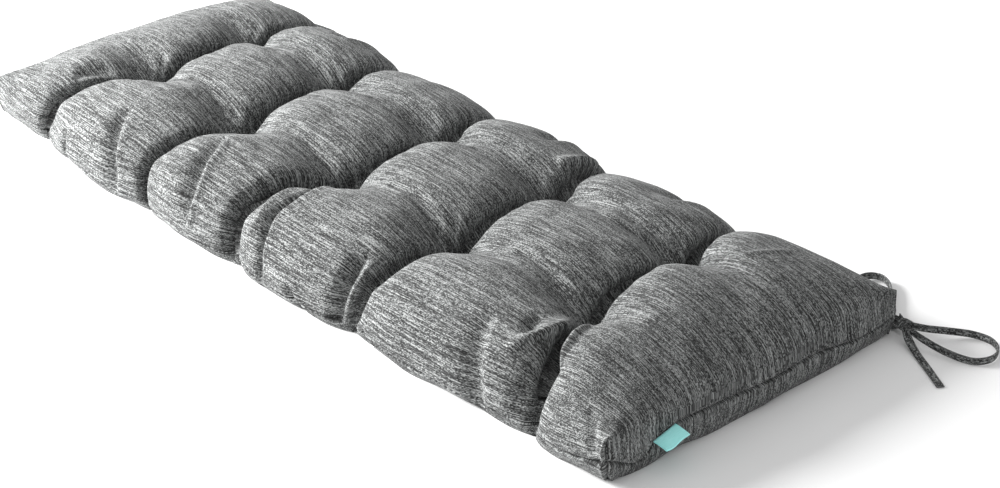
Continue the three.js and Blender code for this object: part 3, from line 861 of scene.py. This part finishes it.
def joined(shells):
    """Several shells as one list of points, faces and cloth places."""
    points, faces, cloth, count = [], [], [], 0
    for shell_points, shell_faces, shell_cloth in shells:
        faces += [[n + count for n in face] for face in shell_faces]
        points.append(shell_points)
        cloth.append(shell_cloth)
        count += len(shell_points)
    return np.vstack(points), faces, np.vstack(cloth)


def at_corner(points, side):
    """Local tie points, measured from the back corner, as points of the cushion; side is 1 right, -1 left."""
    return points * (side, 1, 1) + (side * HALF_LENGTH, half_width(side * HALF_LENGTH, 1), 0)


def strap_piece(name, route, side, steps):
    """A strap along its route, and the line that it follows."""
    line = smooth_route(route, steps)
    centres = at_corner(line[:, :3], side)
    shell = tube(strap_rings(centres, line[:, 3]))
    return new_mesh(name, *shell), centres


def knot_piece(name, side):
    """The pulled knot: strap wound once and a half round the crossing, and the short root from the corner."""
    turns = np.linspace(KNOT_START, KNOT_END, KNOT_STEPS)
    radius = KNOT_RADIUS * (KNOT_TIGHT + KNOT_GROWTH * turns)
    drift = (turns / KNOT_END - 0.5) * KNOT_DRIFT
    wound = np.stack([drift, radius * np.cos(turns), KNOT_FLATTEN * radius * np.sin(turns)], 1)
    outward = np.stack([0 * turns, np.cos(turns), np.sin(turns)], 1)
    section = strap_section() * KNOT_STRAP
    offsets = section[None, :, :1] * KNOT_SLANT + section[None, :, 1:] * outward[:, None]
    lean = np.array(Matrix.Rotation(KNOT_LEAN, 3, "Z"))
    rings = (wound[:, None] + offsets) @ lean.T + KNOT_CENTRE
    root = smooth_route(ROOT, ROOT_STEPS)
    root_rings = strap_rings(at_corner(root[:, :3], side), root[:, 3])
    return new_mesh(name, *joined([tube(at_corner(rings, side)), tube(root_rings)]))


# Tab

def tab_piece():
    """A woven strip folded in two, its raw ends in the seam and its fold outwards."""
    flat = TAB_REACH - TAB_FOLD
    turn = np.linspace(-np.pi / 2, np.pi / 2, TAB_TURN)
    upper = np.stack([np.linspace(0, flat, TAB_RUN), np.full(TAB_RUN, TAB_FOLD)], 1)
    bend = np.stack([flat + TAB_FOLD * np.cos(turn), -TAB_FOLD * np.sin(turn)], 1)
    section = np.vstack([upper, bend, upper[::-1] * (1, -1)])
    along = np.linspace(-0.5, 0.5, TAB_COLUMNS) * TAB_LENGTH
    out, y = np.meshgrid(section[:, 0], along, indexing="ij")
    share = out / TAB_REACH
    from_corner = y + TAB_LENGTH / 2
    leaf = np.where(section[:, 1:] > 0, 1, TAB_LIFT_UNDER)
    lift = section[:, 1:] + TAB_DROOP * share**2 + TAB_RIPPLE * np.sin(y * TAB_RIPPLE_RATE) * share
    lift = lift + TAB_LIFT * bell(from_corner, TAB_LIFT_REACH) * share * leaf
    drawn = out - TAB_DRAW * bell(from_corner, TAB_DRAW_REACH) * share
    local = np.stack([drawn, y, lift], -1).reshape(-1, 3)
    tilt = np.array(Matrix.Rotation(TAB_SLANT, 3, "X"))
    root = float(half_length(TAB_Y)) + TAB_ROOT
    points = local @ tilt.T + (root, TAB_Y, TAB_Z)
    ids = np.arange(len(points)).reshape(y.shape)
    corners = (ids[:-1, :-1], ids[1:, :-1], ids[1:, 1:], ids[:-1, 1:])
    faces = np.stack(corners, -1).reshape(-1, 4)
    run_length = np.append(0, np.cumsum(np.linalg.norm(np.diff(section, axis=0), axis=1)))
    cloth = np.stack([np.broadcast_to(run_length[:, None], ids.shape), y], -1).reshape(-1, 2)
    obj = new_mesh("folded_tab", points, faces, cloth[faces].reshape(-1, 2))
    solid = obj.modifiers.new("cloth thickness", "SOLIDIFY")
    solid.thickness = TAB_CLOTH
    solid.offset = 0
    return obj


# Materials

class Shading:
    """A material whose nodes are added one by one."""

    def __init__(self, name):
        self.material = bpy.data.materials.new(name)
        self.material.use_nodes = True
        self.nodes = self.material.node_tree.nodes
        self.links = self.material.node_tree.links
        self.shader = self.nodes["Principled BSDF"]
        self.cloth = self.nodes.new("ShaderNodeUVMap")
        self.cloth.uv_map = "cloth"

    def feed(self, source, name):
        """Leads a source to the shader's socket of that name."""
        self.links.new(source, self.shader.inputs[name])

    def set(self, name, value):
        self.shader.inputs[name].default_value = value

    def noise(self, along, across, detail):
        """Cloud noise on the cloth whose marks are about so long along the yarn and so wide across it."""
        placed = self.nodes.new("ShaderNodeMapping")
        placed.inputs["Scale"].default_value = (1 / along, 1 / across, 1)
        cloud = self.nodes.new("ShaderNodeTexNoise")
        cloud.noise_dimensions = "2D"
        cloud.inputs["Scale"].default_value = 1
        cloud.inputs["Detail"].default_value = detail
        self.links.new(self.cloth.outputs["UV"], placed.inputs["Vector"])
        self.links.new(placed.outputs["Vector"], cloud.inputs["Vector"])
        return cloud.outputs["Fac"]

    def whole(self, along, across):
        """The cloth's places in whole steps of so much along the yarn and across it."""
        counted = self.nodes.new("ShaderNodeVectorMath")
        counted.operation = "DIVIDE"
        counted.inputs[1].default_value = (along, across, 1)
        floored = self.nodes.new("ShaderNodeVectorMath")
        floored.operation = "FLOOR"
        self.links.new(self.cloth.outputs["UV"], counted.inputs[0])
        self.links.new(counted.outputs["Vector"], floored.inputs[0])
        return floored.outputs["Vector"]

    def crossings(self, pick, yarn):
        """A random value for each crossing of the weave."""
        chance = self.nodes.new("ShaderNodeTexWhiteNoise")
        chance.noise_dimensions = "2D"
        self.links.new(self.whole(pick, yarn), chance.inputs["Vector"])
        return chance.outputs["Value"]

    def yarns(self, slub, yarn):
        """Slow changes along each yarn, with no likeness between neighbouring yarns."""
        placed = self.nodes.new("ShaderNodeVectorMath")
        placed.operation = "MULTIPLY"
        placed.inputs[1].default_value = (1 / SLUB_STEPS, YARN_APART, 1)
        cloud = self.nodes.new("ShaderNodeTexNoise")
        cloud.noise_dimensions = "2D"
        cloud.inputs["Scale"].default_value = 1
        cloud.inputs["Detail"].default_value = 1
        self.links.new(self.whole(slub / SLUB_STEPS, yarn), placed.inputs[0])
        self.links.new(placed.outputs["Vector"], cloud.inputs["Vector"])
        return cloud.outputs["Fac"]

    def math(self, operation, a, b):
        node = self.nodes.new("ShaderNodeMath")
        node.operation = operation
        for socket, value in zip(node.inputs, (a, b)):
            if isinstance(value, (int, float)):
                socket.default_value = value
            else:
                self.links.new(value, socket)
        return node.outputs["Value"]

    def weighted(self, *parts):
        """The sum of sources, each times its weight."""
        total = None
        for source, weight in parts:
            part = self.math("MULTIPLY", source, weight)
            total = part if total is None else self.math("ADD", total, part)
        return total

    def ramp(self, source, stops):
        """Colours by value: stops of (value, linear red, green, blue)."""
        node = self.nodes.new("ShaderNodeValToRGB")
        elements = node.color_ramp.elements
        while len(elements) < len(stops):
            elements.new(0.5)
        for element, (value, *colour) in zip(elements, stops):
            element.position = value
            element.color = (*colour, 1)
        self.links.new(source, node.inputs["Fac"])
        return node.outputs["Color"]

    def bump(self, height, distance, strength):
        node = self.nodes.new("ShaderNodeBump")
        node.inputs["Distance"].default_value = distance
        node.inputs["Strength"].default_value = strength
        self.links.new(height, node.inputs["Height"])
        self.feed(node.outputs["Normal"], "Normal")

    def spread(self, source, low, high):
        node = self.nodes.new("ShaderNodeMapRange")
        node.inputs["To Min"].default_value = low
        node.inputs["To Max"].default_value = high
        self.links.new(source, node.inputs["Value"])
        return node.outputs["Result"]


def heather_cloth(name, slub_length, slub_weight, tone):
    """Yarn-dyed cloth: light and dark slubbed yarns along X, broken up by a fine crossing weft."""
    cloth = Shading(name)
    crossing = cloth.crossings(PICK, YARN)
    slub = cloth.yarns(slub_length, YARN)
    band = cloth.noise(BAND_LENGTH, BAND_WIDTH, detail=2.0)
    value = cloth.weighted((slub, slub_weight), (crossing, CROSSING_WEIGHT), (band, BAND_WEIGHT))
    value = cloth.math("SUBTRACT", value, (slub_weight + CROSSING_WEIGHT + BAND_WEIGHT) / 2 - tone)
    cloth.feed(cloth.ramp(value, HEATHER_COLOURS), "Base Color")
    cloth.feed(cloth.spread(slub, *CLOTH_ROUGHNESS), "Roughness")
    cloth.bump(cloth.weighted((slub, 0.5), (crossing, 0.5)), CLOTH_RELIEF, CLOTH_RELIEF_STRENGTH)
    cloth.set("Specular IOR Level", CLOTH_GLOSS)
    cloth.set("Sheen Weight", CLOTH_SHEEN)
    cloth.set("Sheen Roughness", CLOTH_SHEEN_ROUGHNESS)
    return cloth.material


def tab_cloth():
    """Teal satin ribbon with fine cross ribs."""
    cloth = Shading("tab ribbon")
    rib = cloth.noise(RIB_PITCH, RIB_LENGTH, detail=0.0)
    cloud = cloth.noise(CLOUD_SIZE, CLOUD_SIZE, detail=2.0)
    value = cloth.weighted((rib, RIB_WEIGHT), (cloud, CLOUD_WEIGHT))
    cloth.feed(cloth.ramp(value, RIBBON_COLOURS), "Base Color")
    cloth.feed(cloth.spread(rib, *RIBBON_ROUGHNESS), "Roughness")
    cloth.bump(rib, RIB_RELIEF, RIB_RELIEF_STRENGTH)
    cloth.set("Sheen Weight", RIBBON_SHEEN)
    return cloth.material


def floor_finish():
    floor = Shading("floor paper")
    cloud = floor.noise(PAPER_CLOUD, PAPER_CLOUD, detail=3.0)
    floor.feed(floor.ramp(cloud, PAPER_COLOURS), "Base Color")
    floor.set("Roughness", PAPER_ROUGHNESS)
    return floor.material


# Floor, lights and camera

def floor_piece():
    half = FLOOR_HALF
    points = [(-half, -half, 0), (half, -half, 0), (half, half, 0), (-half, half, 0)]
    floor = new_mesh("floor", points, [(0, 1, 2, 3)], [p[:2] for p in points])
    floor.data.materials.append(floor_finish())


def key_light():
    """A wide round lamp, low on the left."""
    lamp = bpy.data.lights.new("key", "AREA")
    lamp.shape = "DISK"
    lamp.size = KEY_SIZE
    lamp.energy = KEY_POWER
    obj = bpy.data.objects.new("key", lamp)
    obj.location = KEY_PLACE
    obj.rotation_mode = "QUATERNION"
    obj.rotation_quaternion = (-KEY_PLACE).to_track_quat("-Z", "Y")
    bpy.context.collection.objects.link(obj)


def room_light():
    world = bpy.data.worlds.new("studio")
    world.use_nodes = True
    background = world.node_tree.nodes["Background"]
    background.inputs["Color"].default_value = (1, 1, 1, 1)
    background.inputs["Strength"].default_value = WORLD_LIGHT
    bpy.context.scene.world = world
    bpy.context.scene.view_settings.view_transform = "Standard"


def photo_camera():
    azimuth, elevation = CAMERA_AZIMUTH, CAMERA_ELEVATION
    level = math.cos(elevation)
    back = Vector((math.sin(azimuth) * level, -math.cos(azimuth) * level, math.sin(elevation)))
    camera = bpy.data.cameras.new("camera")
    camera.lens = CAMERA_LENS
    obj = bpy.data.objects.new("camera", camera)
    obj.location = CAMERA_TARGET + back * CAMERA_DISTANCE
    obj.rotation_mode = "QUATERNION"
    obj.rotation_quaternion = (-back).to_track_quat("-Z", "Y")
    bpy.context.collection.objects.link(obj)
    bpy.context.scene.camera = obj


# Putting it together


def dress(obj, material, node):
    obj.data.materials.append(material)
    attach(obj, "root")
    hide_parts(node)


def build_tie(node, side, loops, ends, material):
    """A bow's knot, loops and free ends."""
    knot = knot_piece(f"{node}_knot", side)
    dress(knot, material, node)
    straps = [("loop", n, route, LOOP_STEPS, "knot") for n, route in enumerate(loops, 1)]
    straps += [("end", n, route, END_STEPS, "bare") for n, route in enumerate(ends, 1)]
    for kind, number, route, steps, far_end in straps:
        strap, line = strap_piece(f"{node}_{kind}_{number}", route, side, steps)
        dress(strap, material, node)


def main():
    cushion = cushion_piece()
    cover_cloth = heather_cloth("heathered cover", COVER_SLUB, COVER_SLUB_WEIGHT, COVER_TONE)
    dress(cushion, cover_cloth, "cushion")
    strap_cloth = heather_cloth("heathered strap", STRAP_SLUB, STRAP_SLUB_WEIGHT, STRAP_TONE)
    build_tie("tie_right", 1, (LOOP_OUT_RIGHT, LOOP_BACK_RIGHT), (END_OUT_RIGHT, END_BACK), strap_cloth)
    build_tie("tie_left", -1, (LOOP_OUT_LEFT, LOOP_BACK_LEFT), (END_OUT_LEFT, END_BACK), strap_cloth)
    tab = tab_piece()
    dress(tab, tab_cloth(), "tab")
    floor_piece()
    key_light()
    room_light()
    photo_camera()


main()
